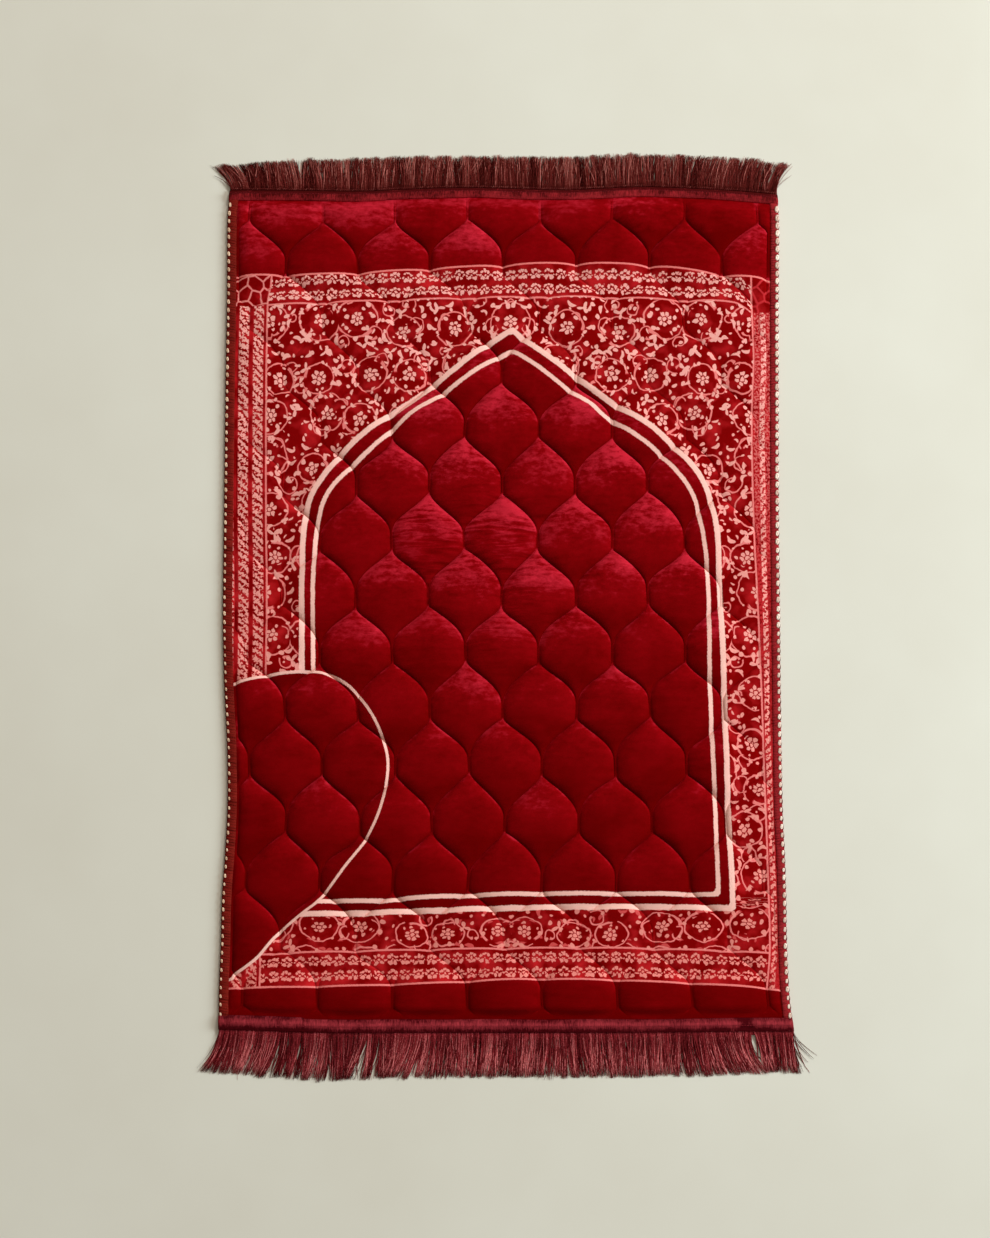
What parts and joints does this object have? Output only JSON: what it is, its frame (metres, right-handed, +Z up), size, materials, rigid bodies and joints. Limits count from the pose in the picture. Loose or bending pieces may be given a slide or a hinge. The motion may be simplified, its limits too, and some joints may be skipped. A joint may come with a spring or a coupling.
{
  "type": "quilted velour prayer rug with bound, fringed ends",
  "caption": "Padded red velour prayer rug, quilted in onion-shaped domes, with overlocked long sides, rolled tape at both ends and burgundy yarn fringes. It lies flat on a floor.",
  "frame": {"origin": "centre of the rug's plan, fringes included, on the floor it lies on", "axes": "+X across the rug, +Y along it to the head end with the arch's point, +Z up"},
  "size_m": [0.7304, 1.1632, 0.012],
  "materials": {
    "velour": "printed plush pile",
    "serging_thread": "overlocked thread",
    "binding_tape": "woven tape",
    "fringe_yarn": "twisted yarn"
  },
  "bodies": {
    "root": {"quilted_mat": "velour", "edge_serging_left": "serging_thread", "edge_serging_right": "serging_thread", "end_binding_head": "binding_tape", "end_binding_foot": "binding_tape", "fringe_head": "fringe_yarn", "fringe_foot": "fringe_yarn"}
  },
  "joints": []
}
